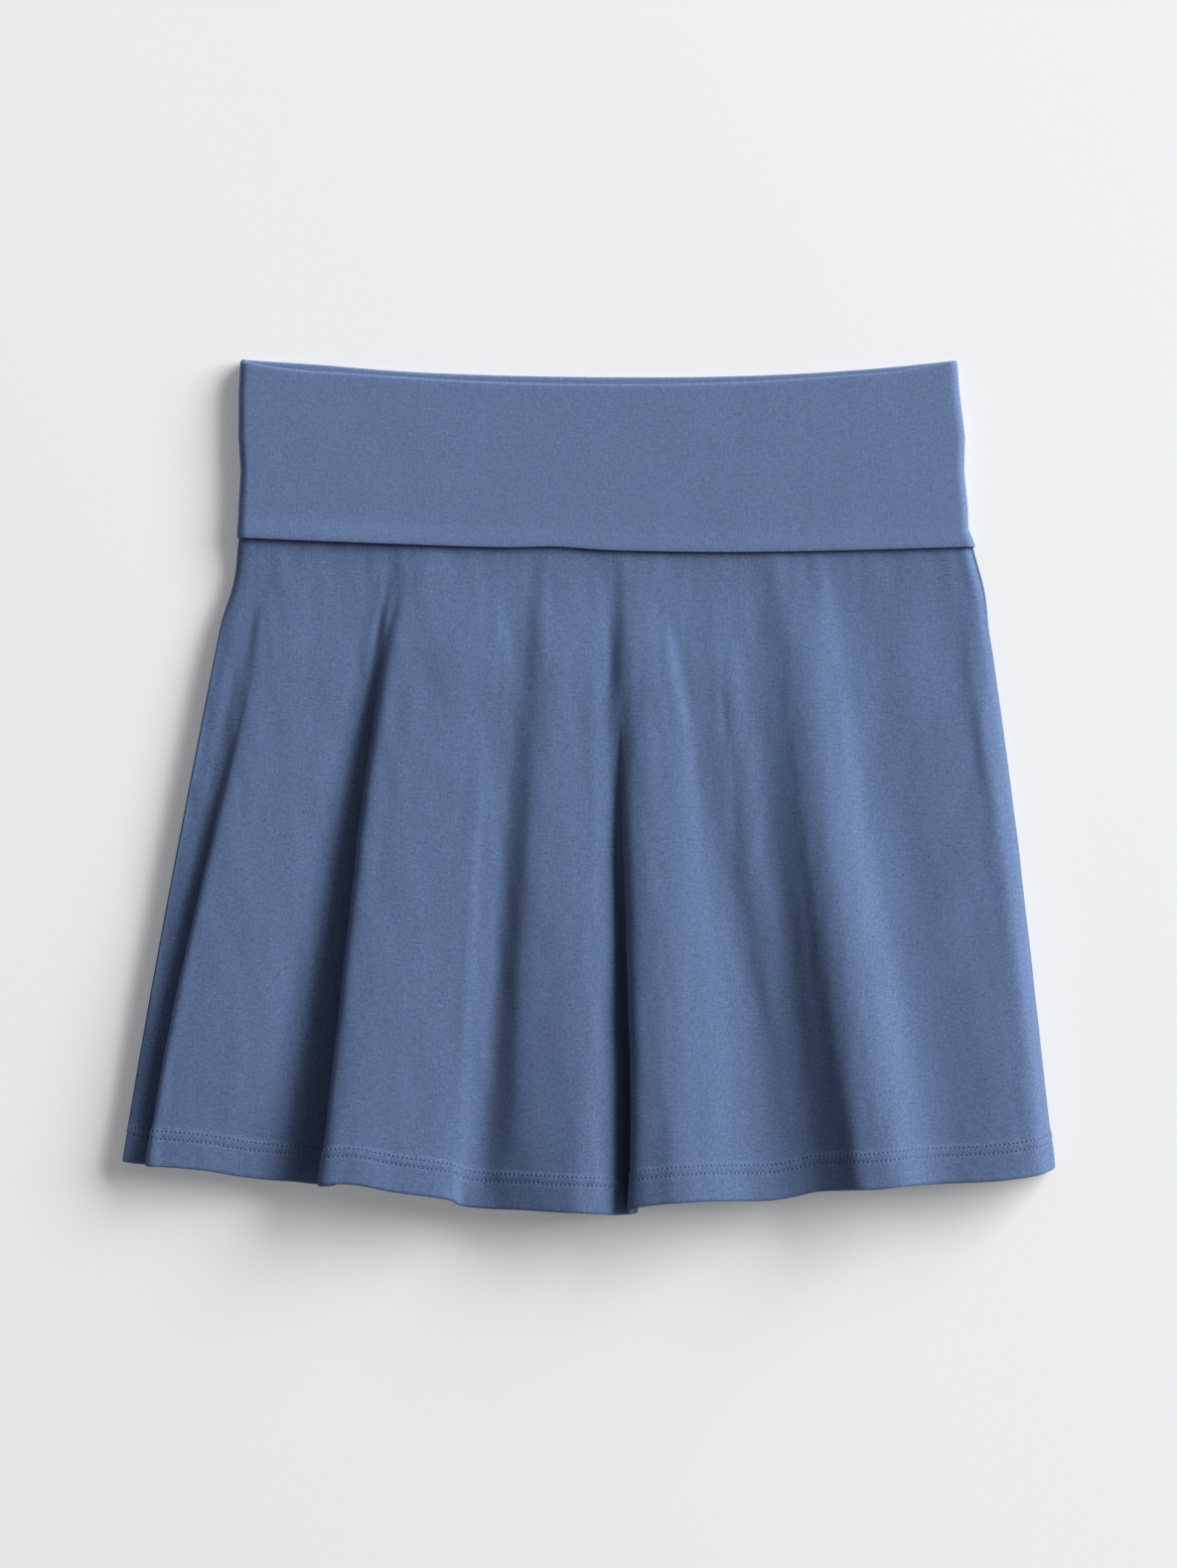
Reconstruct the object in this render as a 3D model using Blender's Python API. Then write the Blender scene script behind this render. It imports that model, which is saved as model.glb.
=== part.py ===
"""A girl's jersey skort with a fold-over waistband, laid out on its back.

Right-handed frame: +X to the right of the front as seen from above, +Y towards the waist,
+Z up. The surface it lies on is Z = 0. Sizes are in millimetres until a mesh is made.
"""

from collections import namedtuple

import bmesh
import bpy
import numpy as np

MM = 0.001

# Cloth
JERSEY = 1.0  # wall of the skirt and the shorts
BAND_CLOTH = 1.0  # wall of the waistband, which is jersey used double
HEM_CLOTH = 1.6  # wall where the skirt's hem is turned up
SEAM_GAP = 0.3  # between the edges of pieces that are sewn together
SIDE_GAP = 1.0  # middles of front and back at the slanting side seams, for 1 mm of wall

# Waistband
BAND_AIR = 0.3  # between the band and the half of it that is folded down outside
BAND_HOLLOW = 3.0  # inside the waist, between front and back
BAND_CROWN = 0.5  # how far the front swells in the middle
LAYER_STEP = BAND_CLOTH + BAND_AIR
OUTSIDE = LAYER_STEP + BAND_CLOTH / 2  # from the inner layer's middle to the band's outside
BACK_Z = OUTSIDE
FRONT_Z = BACK_Z + BAND_CLOTH + BAND_HOLLOW
SEAM_Z = (BACK_Z + FRONT_Z) / 2
HALF_Z = (FRONT_Z - BACK_Z) / 2
SEAM_COVER = 1.0  # how far the folded edge hangs below the waist seam
BAND_TURNS = (4.2, 25, 48, 70, 90)  # degrees round each side, from the side seam
BAND_COLUMNS = 24  # between the two sides
INNER_STEPS = 3  # from the waist seam up to the top fold
FOLD_STEPS = 6
OUTER_STEPS = 4  # from the top fold down to the free edge

# Outline of the band's outside: distance below the corners of the top edge, left, right
BandEdge = namedtuple("BandEdge", "down left right")
BAND_EDGES = (
    BandEdge(0, -131.2, 138.9),
    BandEdge(12, -131.8, 139.8),
    BandEdge(29, -131.9, 141.9),
    BandEdge(42, -131.1, 141.6),
    BandEdge(56, -132.2, 143.0),
    BandEdge(64, -132.8, 143.2),
    BandEdge(70, -132.8, 145.4),
)

# Edges that sag between their two ends: heights at the ends and at the lowest point
Sag = namedtuple("Sag", "left_y right_y low_x low_y power")
FRONT_TOP = Sag(160.8, 160.6, 14, 151.4, 2.2)
BACK_TOP = Sag(161.0, 160.8, 22, 154.4, 2.2)
FLAP_EDGE = Sag(94.0, 90.8, 48, 88.5, 1.5)

# Fold lines of the skirt front from the waist to the hem. x is given at the waist, one third
# down, two thirds down and at the hem, z at the last three of these, and y at the hem. The
# neck is added to z halfway down the upper third, where the folds begin.
FoldLine = namedtuple(
    "FoldLine",
    "name waist_x upper_x lower_x hem_x upper_z lower_z hem_z hem_y neck",
    defaults=(0,),
)
FRONT_FOLDS = (
    FoldLine("left seam", -131.7, -146.8, -161.7, -175.0, 5.6, 5.5, 4.9, -140.5),
    FoldLine("left round", -130.2, -145.3, -160.2, -173.5, 6.2, 6.1, 5.5, -140.8, -0.5),
    FoldLine("side fold", -127.6, -142.0, -157.4, -170.8, 6.4, 6.1, 5.7, -141.2, 0.1),
    FoldLine("valley 1", -125.2, -138.4, -154.2, -168.6, 6.3, 5.9, 5.7, -141.5, 0.1),
    FoldLine("tuck 1", -122.0, -135.0, -150.2, -165.2, 6.8, 6.2, 6.1, -141.8, 0.2),
    FoldLine("lip 1", -118.0, -133.2, -151.8, -166.9, 8.0, 10.2, 12.1, -141.8, 0.2),
    FoldLine("shoulder 1", -113.6, -130.6, -150.6, -166.0, 8.7, 12.2, 14.6, -142.0, 0.2),
    FoldLine("top 1", -108.5, -125.0, -145.6, -160.5, 9.3, 12.8, 14.7, -142.2, 0.1),
    FoldLine("plateau 1", -98.0, -111.5, -128.0, -143.0, 8.8, 12.1, 13.3, -143.8),
    FoldLine("edge 1", -84.0, -97.8, -114.4, -131.0, 7.9, 10.2, 10.6, -146.0),
    FoldLine("flank 1", -79.2, -92.2, -106.4, -120.4, 6.7, 7.5, 7.2, -147.4, 0.3),
    FoldLine("floor 2", -77.2, -88.0, -99.6, -110.8, 5.8, 5.8, 4.6, -148.2, 0.7),
    FoldLine("valley 2", -75.2, -84.6, -94.0, -103.0, 5.3, 5.6, 3.0, -149.2, 1.1),
    FoldLine("tuck 2", -72.4, -81.2, -87.2, -95.8, 5.9, 5.7, 3.6, -149.6, 1.6),
    FoldLine("lip 2", -64.0, -82.3, -91.9, -101.8, 10.4, 14.8, 17.4, -149.2, 0.6),
    FoldLine("shoulder 2", -59.0, -80.0, -90.7, -100.8, 12.0, 16.7, 19.5, -148.6, 0.8),
    FoldLine("top 2", -57.2, -73.6, -82.0, -89.0, 13.1, 17.9, 20.7, -148.2, 0.9),
    FoldLine("plateau 2", -50.5, -60.0, -68.0, -73.0, 13.0, 16.8, 18.8, -151.2, 1.1),
    FoldLine("crest 2", -37.6, -41.5, -48.0, -51.5, 11.8, 14.5, 15.4, -154.6, 1.3),
    FoldLine("flank 2", -28.0, -34.5, -38.6, -46.6, 11.0, 12.8, 12.0, -156.6, 1.2),
    FoldLine("valley 3", -22.5, -28.6, -33.4, -36.6, 10.8, 12.2, 11.0, -157.8, 1.2),
    FoldLine("rise 3", -16.0, -20.2, -25.4, -25.0, 13.1, 15.8, 14.4, -158.2, 1.3),
    FoldLine("slope 3", -10.0, -14.0, -13.6, -13.0, 13.3, 16.7, 16.6, -158.8, 1.5),
    FoldLine("crest 3", 1.0, -0.6, -0.8, -3.0, 12.4, 16.3, 17.4, -159.2, 1.6),
    FoldLine("edge 3", 3.6, 2.8, 4.8, 4.0, 12.0, 14.9, 15.6, -159.6, 1.5),
    FoldLine("flank 3", 7.0, 6.0, 9.2, 9.2, 11.5, 13.2, 12.8, -160.2, 1.2),
    FoldLine("valley 4", 9.4, 9.2, 14.2, 15.0, 11.0, 8.0, 6.0, -160.4, 0.6),
    FoldLine("tuck 4", 12.8, 12.2, 18.0, 19.4, 11.5, 8.2, 6.4, -160.0, 1.0),
    FoldLine("lip 4", 16.4, 12.8, 15.2, 15.4, 12.7, 15.4, 16.0, -158.8, 1.9),
    FoldLine("shoulder 4", 20.4, 15.8, 16.9, 16.9, 14.3, 18.7, 18.8, -157.4, 1.9),
    FoldLine("rise 4", 25.0, 21.6, 24.6, 26.0, 15.2, 20.0, 20.8, -155.8, 1.5),
    FoldLine("crest 4", 29.4, 30.0, 33.0, 35.5, 14.7, 19.3, 21.2, -155.0, 1.4),
    FoldLine("brow 4", 34.5, 35.8, 42.0, 46.5, 13.9, 17.2, 18.6, -154.6, 1.1),
    FoldLine("crease 4", 40.0, 40.2, 50.6, 57.0, 12.7, 14.4, 15.0, -154.8, 1.1),
    FoldLine("valley 5", 46.5, 48.0, 60.5, 68.0, 12.4, 12.9, 12.2, -154.8, 0.9),
    FoldLine("ridge 5", 53.5, 55.5, 67.5, 76.0, 13.1, 13.6, 12.4, -153.6, 0.5),
    FoldLine("foot 5", 62.0, 65.5, 75.8, 85.5, 12.2, 14.4, 13.2, -151.4, 0.8),
    FoldLine("wall 5", 69.5, 74.0, 83.4, 95.5, 13.7, 17.6, 18.6, -150.6, 1.0),
    FoldLine("shoulder 5", 76.0, 79.5, 89.5, 101.5, 15.2, 20.6, 22.2, -150.2, 1.3),
    FoldLine("crest 5", 84.0, 87.5, 97.5, 109.0, 15.7, 21.6, 22.6, -149.9, 0.9),
    FoldLine("brow 5", 92.0, 94.0, 104.8, 116.8, 14.2, 19.8, 21.3, -149.0, 0.1),
    FoldLine("valley 6", 102.5, 103.4, 117.0, 130.4, 11.0, 14.1, 15.0, -148.4, 0.2),
    FoldLine("crest 7", 116.0, 128.0, 143.0, 150.0, 10.2, 13.0, 14.8, -147.6, 0.1),
    FoldLine("valley 7", 132.5, 144.5, 153.5, 161.8, 9.4, 12.7, 14.2, -146.4, -0.2),
    FoldLine("right crest", 138.2, 149.9, 161.0, 169.2, 9.7, 11.8, 12.2, -145.2, -0.3),
    FoldLine("right flank", 141.8, 154.3, 164.4, 172.8, 7.8, 8.4, 7.8, -144.2, -0.2),
    FoldLine("right round", 144.2, 156.3, 165.8, 174.6, 5.6, 5.2, 4.6, -143.7),
    FoldLine("right seam", 145.0, 157.1, 166.5, 175.3, 3.7, 3.0, 2.2, -143.2),
)

# The back lies on the surface, and only its hem lifts in a few soft flutes
BACK_FOLDS = (
    FoldLine("left seam", -131.7, -146.8, -161.7, -175.0, 5.6, 5.5, 4.9, -140.5),
    FoldLine("left round", -130.4, -145.5, -160.4, -173.7, 1.7, 1.7, 1.7, -140.5),
    FoldLine("left floor", -126.4, -141.2, -156.4, -169.6, 0.0, 0.0, 0.0, -140.4),
    FoldLine("flute 1", -108.0, -118.0, -128.5, -139.0, 0.0, 0.0, 2.6, -141.6),
    FoldLine("rest 1", -86.0, -94.0, -102.0, -110.0, 0.0, 0.0, 0.0, -144.4),
    FoldLine("rest 2", -60.0, -65.5, -70.5, -76.0, 0.0, 0.0, 0.0, -148.4),
    FoldLine("flute 2", -34.0, -37.5, -40.5, -44.0, 0.0, 0.0, 3.0, -151.4),
    FoldLine("rest 3", -6.0, -6.5, -7.5, -8.0, 0.0, 0.0, 0.0, -154.6),
    FoldLine("rest 4", 24.0, 26.5, 28.5, 31.0, 0.0, 0.0, 0.0, -154.0),
    FoldLine("flute 3", 50.0, 55.5, 60.5, 66.0, 0.0, 0.0, 2.8, -151.4),
    FoldLine("rest 5", 76.0, 83.5, 91.5, 99.0, 0.0, 0.0, 0.0, -148.2),
    FoldLine("flute 4", 104.0, 113.5, 122.5, 132.0, 0.0, 0.0, 2.4, -145.4),
    FoldLine("right floor", 140.2, 152.5, 161.9, 170.3, 0.0, 0.0, 0.0, -143.0),
    FoldLine("right round", 144.2, 156.3, 165.8, 174.6, 1.4, 1.2, 1.1, -143.0),
    FoldLine("right seam", 145.0, 157.1, 166.5, 175.3, 3.7, 3.0, 2.2, -143.2),
)
FOLD_START = 0.3  # share of the front's length over which its folds reach their height
FLUTE_START = 0.8  # share of the back's length where its flutes begin, below the shorts
SETTLE = 0.1  # share of the back's length over which it comes down to the surface
FRONT_ROWS = 12
BACK_ROWS = 9
HEM_SHARE = 0.054  # the turned-up hem is 12.7 mm deep, given here as a share of the length
WAIST_EASE = 0.985  # the skirt is eased in to the band by this much at its seam
EASE_DEPTH = 0.1  # share of the length over which it opens out again

# Shorts, hung from the waist seam inside the skirt
SHORTS_WAIST = (-126.2, 139.0)  # left and right side seams at the waist
SHORTS_HEM = (-117.4, 129.4)
CENTRE_X = 6.0  # the rise seam
CROTCH_Y = -52.0
LEG_HEM_Y = -92.0
LEG_PARTING = 14.0  # from the centre to a leg's inner edge at its hem
SHORTS_WAIST_Z = (SEAM_Z, HALF_Z - JERSEY - SEAM_GAP)  # middle height, half spacing
SHORTS_HEM_Z = (2.6, 0.75)
SHORTS_EDGE_Z = (JERSEY + SEAM_GAP) / 2  # from the middle to each side's edge at a seam
SHORTS_CURL = 2.2  # width of the turn at a side seam or inseam
SHORTS_ROWS = 8
SHORTS_TURNS = (0, 0.12, 0.4, 0.75, 1.0)  # shares of the turn where points are taken

SKIRT_COLOUR = (0.095, 0.150, 0.284, 1.0)
BAND_COLOUR = (0.109, 0.162, 0.300, 1.0)
SHORTS_COLOUR = (0.090, 0.142, 0.270, 1.0)


def sag_y(edge, x, left, right):
    """Height of a sagging edge at x, between its ends at left and right."""
    side = np.where(x < edge.low_x, edge.low_x - left, right - edge.low_x)
    away = np.clip(np.abs(x - edge.low_x) / side, 0, 1) ** edge.power
    end_y = np.where(x < edge.low_x, edge.left_y, edge.right_y)
    return edge.low_y + (end_y - edge.low_y) * away


def band_sides(y):
    """Left and right ends of the inner layer of the waistband at height y."""
    down = FRONT_TOP.left_y - y
    steps = [e.down for e in BAND_EDGES]
    left = np.interp(down, steps, [e.left for e in BAND_EDGES])
    right = np.interp(down, steps, [e.right for e in BAND_EDGES])
    return left + OUTSIDE, right - OUTSIDE


def seam_y(x):
    """Height of the waist seam, just under the folded edge of the band."""
    return sag_y(FLAP_EDGE, x, BAND_EDGES[-1].left, BAND_EDGES[-1].right) + SEAM_COVER


def waist_z(x, left, right, side):
    """Middle of the inner layer at x: side is +1 for the front, -1 for the back."""
    edge = np.clip(np.minimum(x - left, right - x) / HALF_Z, 0, 1)
    turn = np.sqrt(1 - (1 - edge) ** 2)
    middle = (2 * x - left - right) / (right - left)
    crown = BAND_CROWN * (1 - middle**2) if side > 0 else 0
    return SEAM_Z + side * turn * HALF_Z + crown


def through(points, samples):
    """Centripetal Catmull-Rom curve through points, with samples steps in each span."""
    first, last = 2 * points[0] - points[1], 2 * points[-1] - points[-2]
    p = np.vstack([first, points, last])
    knots = np.concatenate([[0], np.cumsum(np.linalg.norm(np.diff(p, axis=0), axis=1) ** 0.5)])
    made = []
    for i in range(1, len(p) - 2):
        k = knots[i - 1 : i + 3]
        for t in np.linspace(k[1], k[2], samples, endpoint=False):
            a = [
                ((k[j + 1] - t) * p[i - 1 + j] + (t - k[j]) * p[i + j]) / (k[j + 1] - k[j])
                for j in range(3)
            ]
            b = [((k[j + 2] - t) * a[j] + (t - k[j]) * a[j + 1]) / (k[j + 2] - k[j]) for j in range(2)]
            made.append(((k[2] - t) * b[0] + (t - k[1]) * b[1]) / (k[2] - k[1]))
    return np.array([*made, p[-2]])


def smooth_between(share, *stations):
    """Value at share of the one polynomial through evenly spaced stations from 0 to 1."""
    places = np.linspace(0, 1, len(stations))
    value = 0.0
    for i, station in enumerate(stations):
        others = np.delete(places, i)
        value += station * np.prod((share - others) / (places[i] - others))
    return value


def ease(share):
    share = np.clip(share, 0, 1)
    return share * share * (3 - 2 * share)


def line_xy(line, share):
    """Place across and along the skirt, share of the way from the waist to the hem."""
    eased = 1 - (1 - WAIST_EASE) * (1 - ease(share / EASE_DEPTH))
    stations = (line.waist_x, line.upper_x, line.lower_x, line.hem_x)
    x = smooth_between(share, *stations) * eased
    top_y = seam_y(line.waist_x * WAIST_EASE) - SEAM_GAP / 2
    return x, top_y + (line.hem_y - top_y) * share


def waist_height(line, side):
    """Height of the cloth's middle where a fold line meets the waistband."""
    if line.name.endswith("seam"):
        return SEAM_Z
    x = line.waist_x * WAIST_EASE
    left, right = band_sides(seam_y(x))
    return float(waist_z(x, left, right, side))


def folded_z(line, share, waist):
    """Height on a fold line that grows from its height at the waist to its own heights."""
    z = smooth_between(share, waist, line.upper_z, line.lower_z, line.hem_z)
    z = waist + (z - waist) * ease(share / FOLD_START) ** 0.6
    return z + line.neck * np.sin(np.pi * min(share * 3, 1)) ** 3


def front_point(line, share):
    """Point of a fold line of the skirt front."""
    x, y = line_xy(line, share)
    z = folded_z(line, share, waist_height(line, 1))
    if line.name.endswith("seam"):
        z += SIDE_GAP * half_wall(share)
    return x, y, z


def back_point(line, share):
    """Point of a line of the skirt back. Its flutes are heights above the surface."""
    x, y = line_xy(line, share)
    waist = waist_height(line, -1)
    if line.name.endswith("seam"):
        z = folded_z(line, share, waist) - SIDE_GAP * half_wall(share)
    elif line.name.endswith("round"):
        z = folded_z(line, share, waist)
    else:
        flute = line.hem_z * ease((share - FLUTE_START) / (1 - FLUTE_START))
        z = half_wall(share) + flute + (waist - JERSEY / 2) * (1 - ease(share / SETTLE))
    return x, y, z


def half_wall(share):
    """Half the wall's thickness, which is larger in the turned-up hem."""
    return (HEM_CLOTH if share > 1 - HEM_SHARE - 1e-6 else JERSEY) / 2


def skirt_rows(count):
    """Shares of the length where sections are taken, with a step at the top of the hem."""
    body = np.linspace(0, 1 - HEM_SHARE - 0.006, count)
    return [*body, 1 - HEM_SHARE, 1 - HEM_SHARE / 2, 1.0]


def panel_grid(lines, point, rows, samples):
    """Sections of a skirt panel, each a curve through its fold lines."""
    return np.array([through(np.array([point(f, v) for f in lines]), samples) for v in rows])


def band_path(top, inset, share):
    """Steps up the inner layer, over the top fold and down the outside: height, distance out."""
    turn = LAYER_STEP / 2
    x = band_x(FRONT_TOP.low_y, inset, share)
    left, right = band_sides(FRONT_TOP.low_y)
    low_y = seam_y(x) + SEAM_GAP / 2
    fold_y = sag_y(top, x, left - OUTSIDE, right + OUTSIDE) - turn - BAND_CLOTH / 2
    flap_y = seam_y(x) - SEAM_COVER
    inner = [(y, 0.0) for y in np.linspace(low_y, fold_y, INNER_STEPS + 1)[:-1]]
    angles = np.linspace(0, np.pi, FOLD_STEPS + 1)
    fold = [(fold_y + turn * np.sin(a), turn * (1 - np.cos(a))) for a in angles]
    outer = [(y, LAYER_STEP) for y in np.linspace(fold_y, flap_y, OUTER_STEPS + 1)[1:]]
    return inner + fold + outer


def band_x(y, inset, share):
    """Place across the inner layer: inset from its left end, then a share of its flat."""
    left, right = band_sides(y)
    return left + inset + share * (right - left - 2 * HALF_Z)


def band_grid(side, top):
    """Front (side +1) or back (side -1) half of the waistband, folded double at its top."""
    turns = (1 - np.cos(np.radians(BAND_TURNS))) * HALF_Z
    columns = [(inset, 0.0) for inset in turns]
    columns += [(HALF_Z, share) for share in np.linspace(0, 1, BAND_COLUMNS + 2)[1:-1]]
    columns += [(2 * HALF_Z - inset, 1.0) for inset in turns[::-1]]
    grid = []
    for inset, share in columns:
        grid.append([])
        for y, out in band_path(top, inset, share):
            left, right = band_sides(y)
            x = band_x(y, inset, share)
            before, after = max(x - 0.05, left), min(x + 0.05, right)
            rise = waist_z(after, left, right, side) - waist_z(before, left, right, side)
            normal = side * np.array([-rise, after - before]) / np.hypot(rise, after - before)
            z = waist_z(x, left, right, side)
            grid[-1].append((x + normal[0] * out, y, z + normal[1] * out))
    return np.array(grid).transpose(1, 0, 2)


def shorts_grid(side, hand):
    """A quarter of the shorts: side is +1 front or -1 back, hand -1 left or +1 right."""
    waist_x, hem_x = (ends[(hand + 1) // 2] for ends in (SHORTS_WAIST, SHORTS_HEM))
    length = seam_y(CENTRE_X) - LEG_HEM_Y
    crotch = (seam_y(CENTRE_X) - CROTCH_Y) / length
    turn = np.array(SHORTS_TURNS) * SHORTS_CURL
    grid = []
    for v in np.linspace(0, 1, SHORTS_ROWS):
        below = ease((v - crotch) / (1 - crotch) * 3)
        parting = LEG_PARTING * np.clip((v - crotch) / (1 - crotch), 0, 1) ** 0.7
        outer = waist_x + (hem_x - waist_x) * v
        width = abs(outer - CENTRE_X) - SEAM_GAP / 2 - parting
        flat = np.linspace(SHORTS_CURL, width - SHORTS_CURL, 8)[1:-1]
        across = np.concatenate([turn, flat, width - turn[::-1]])
        arch = round_off(across) * (1 - below * (1 - round_off(width - across)))
        settled = ease(v * 1.1) ** 0.8
        middle, half = (a + (b - a) * settled for a, b in zip(SHORTS_WAIST_Z, SHORTS_HEM_Z))
        x = outer - hand * across
        top_y = seam_y(x) - SEAM_GAP / 2
        z = middle + side * (SHORTS_EDGE_Z + (half - SHORTS_EDGE_Z) * arch)
        grid.append(np.stack([x, top_y + (LEG_HEM_Y - top_y) * v, z], axis=1))
    return np.array(grid)


def round_off(distance):
    """0 at a seam, rising in a quarter circle to 1 where the turn ends."""
    return np.sqrt(1 - (1 - np.clip(distance / SHORTS_CURL, 0, 1)) ** 2)


def cloth_material(name, colour):
    material = bpy.data.materials.new(name)
    material.use_nodes = True
    shader = material.node_tree.nodes["Principled BSDF"]
    shader.inputs["Base Color"].default_value = colour
    shader.inputs["Roughness"].default_value = 0.85
    shader.inputs["Metallic"].default_value = 0.0
    return material


def cloth_object(name, grid, thickness, material, flip=False, hem_from=None):
    """A wall of cloth round a grid of points, thicker from row hem_from on."""
    mesh = bpy.data.meshes.new(name)
    bm = bmesh.new()
    rows = [[bm.verts.new(p * MM) for p in row] for row in grid]
    for upper, lower in zip(rows, rows[1:]):
        for a, b, c, d in zip(upper, upper[1:], lower[1:], lower):
            bm.faces.new((a, b, c, d) if flip else (a, d, c, b))
    bm.to_mesh(mesh)
    bm.free()
    mesh.materials.append(material)
    mesh.shade_smooth()
    piece = bpy.data.objects.new(name, mesh)
    bpy.context.scene.collection.objects.link(piece)
    wall = piece.modifiers.new("Cloth", "SOLIDIFY")
    wall.thickness = thickness * MM
    wall.offset = 0
    if hem_from is not None:
        turned_up = piece.vertex_groups.new(name="turned up")
        turned_up.add(list(range(hem_from * len(grid[0]), len(mesh.vertices))), 1, "REPLACE")
        wall.thickness = HEM_CLOTH * MM
        wall.vertex_group = turned_up.name
        wall.thickness_vertex_group = thickness / HEM_CLOTH
    return piece


def main():
    for old in list(bpy.data.objects):
        bpy.data.objects.remove(old)
    skirt = cloth_material("skirt jersey", SKIRT_COLOUR)
    band = cloth_material("waistband jersey", BAND_COLOUR)
    lining = cloth_material("shorts jersey", SHORTS_COLOUR)

    front_rows = skirt_rows(FRONT_ROWS)
    front = panel_grid(FRONT_FOLDS, front_point, front_rows, 2)
    cloth_object("skirt_front", front, JERSEY, skirt, hem_from=FRONT_ROWS)

    back_rows = skirt_rows(BACK_ROWS)
    back = panel_grid(BACK_FOLDS, back_point, back_rows, 3)
    for row, share in zip(back, back_rows):
        row[:, 2] = np.maximum(row[:, 2], half_wall(share))
    cloth_object("skirt_back", back, JERSEY, skirt, flip=True, hem_from=BACK_ROWS)

    cloth_object("waistband_front", band_grid(1, FRONT_TOP), BAND_CLOTH, band)
    cloth_object("waistband_back", band_grid(-1, BACK_TOP), BAND_CLOTH, band, flip=True)

    for side, side_name in ((1, "front"), (-1, "back")):
        for hand, hand_name in ((-1, "left"), (1, "right")):
            grid = shorts_grid(side, hand)
            name = f"shorts_{side_name}_{hand_name}"
            cloth_object(name, grid, JERSEY, lining, flip=side * hand > 0)


main()
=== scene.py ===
"""Looks of a girl's jersey skort with a fold-over waistband, laid out on its back.

Lengths are in millimetres until a mesh is made. +X is to the right of the front, +Y is towards
the waist and +Z is up from the surface that it lies on.
"""

import math
from collections import namedtuple

import bpy
import numpy as np
from mathutils import Matrix, Vector, noise


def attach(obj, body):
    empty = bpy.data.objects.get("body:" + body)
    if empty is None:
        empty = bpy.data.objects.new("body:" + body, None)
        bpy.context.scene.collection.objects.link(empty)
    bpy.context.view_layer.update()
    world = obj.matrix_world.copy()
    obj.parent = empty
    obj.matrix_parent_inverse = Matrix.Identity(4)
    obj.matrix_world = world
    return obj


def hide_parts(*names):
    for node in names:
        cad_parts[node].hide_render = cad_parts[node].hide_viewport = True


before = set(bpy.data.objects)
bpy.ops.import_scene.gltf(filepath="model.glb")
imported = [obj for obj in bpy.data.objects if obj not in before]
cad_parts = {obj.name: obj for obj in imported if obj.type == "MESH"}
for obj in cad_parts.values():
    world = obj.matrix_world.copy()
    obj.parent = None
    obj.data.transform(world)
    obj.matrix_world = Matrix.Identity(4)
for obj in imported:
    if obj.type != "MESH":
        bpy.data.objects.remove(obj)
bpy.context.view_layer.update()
MM = 0.001
UV_PER_METRE = 10

# Cloth and waistband, as in the CAD model
JERSEY = 1.0  # wall of the skirt and the shorts there
BAND_CLOTH = 1.0  # wall of the waistband, which is jersey used double
SEAM_GAP = 0.3  # between the edges of pieces that are sewn together
BAND_AIR = 0.3  # between the band and the half of it that is folded down outside
BAND_HOLLOW = 3.0  # inside the waist, between front and back
BAND_CROWN = 0.5  # how far the front swells in the middle
SIDE_POWER = 3  # how square the two sides of the waist are, where 2 is a half circle
LAYER_STEP = BAND_CLOTH + BAND_AIR
OUTSIDE = LAYER_STEP + BAND_CLOTH / 2  # from the inner layer's middle to the band's outside
BACK_Z = OUTSIDE
FRONT_Z = BACK_Z + BAND_CLOTH + BAND_HOLLOW
SEAM_Z = (BACK_Z + FRONT_Z) / 2
HALF_Z = (FRONT_Z - BACK_Z) / 2
SEAM_COVER = 1.0  # how far the folded edge hangs below the waist seam

# How the skirt leaves the waist. A share is a share of a panel's length.
SIDE_GAP = 0.2  # between the middles of front and back at the side seams, whose edges meet
WAIST_EASE = 0.997  # the skirt is eased in to the band by this much at its seam
EASE_DEPTH = 0.1  # share over which it opens out again
LEFT_DRAW = 1.7  # how far the left side is drawn in just below the band
RIGHT_SPREAD = 1.1  # how far the right side spreads there
SIDE_X = (-132, 145)  # about where the side seams meet the band
DRAW_END = 0.15  # share at which both have died out
FOLD_START = 0.3  # share over which the front's folds reach their height
FOLD_POWER = 0.6  # below 1 they grow fast at first
FLUTE_START = 0.8  # share at which the back's flutes begin, below the shorts
SETTLE = 0.1  # share over which the back comes down to the surface

# x of the band's two edges at some distances down from its top corner
BandEdge = namedtuple("BandEdge", "down left right")
BAND_EDGES = (
    BandEdge(0, -131.2, 138.9),
    BandEdge(12, -131.8, 139.8),
    BandEdge(29, -131.9, 141.9),
    BandEdge(42, -131.1, 141.6),
    BandEdge(56, -131.9, 143.0),
    BandEdge(64, -132.0, 143.2),
    BandEdge(70, -131.9, 145.4),
)

# Edges that hang in a curve between their two ends, with their lowest point and how steeply they
# rise towards the ends
Sag = namedtuple("Sag", "left_y right_y low_x low_y power")
FRONT_TOP = Sag(160.8, 160.6, 14, 151.4, 2.2)
BACK_TOP = Sag(161.0, 160.8, 22, 154.4, 2.2)
FLAP_EDGE = Sag(94.0, 90.8, 48, 88.5, 1.5)
# Small dips in the top edges, and rises where the drop is negative
TopDip = namedtuple("TopDip", "edge x width drop")
TOP_DIPS = (
    TopDip(FRONT_TOP, -112, 20, 1.1),
    TopDip(FRONT_TOP, 114, 14, 0.8),
    TopDip(BACK_TOP, -103, 22, -0.6),
)

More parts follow.
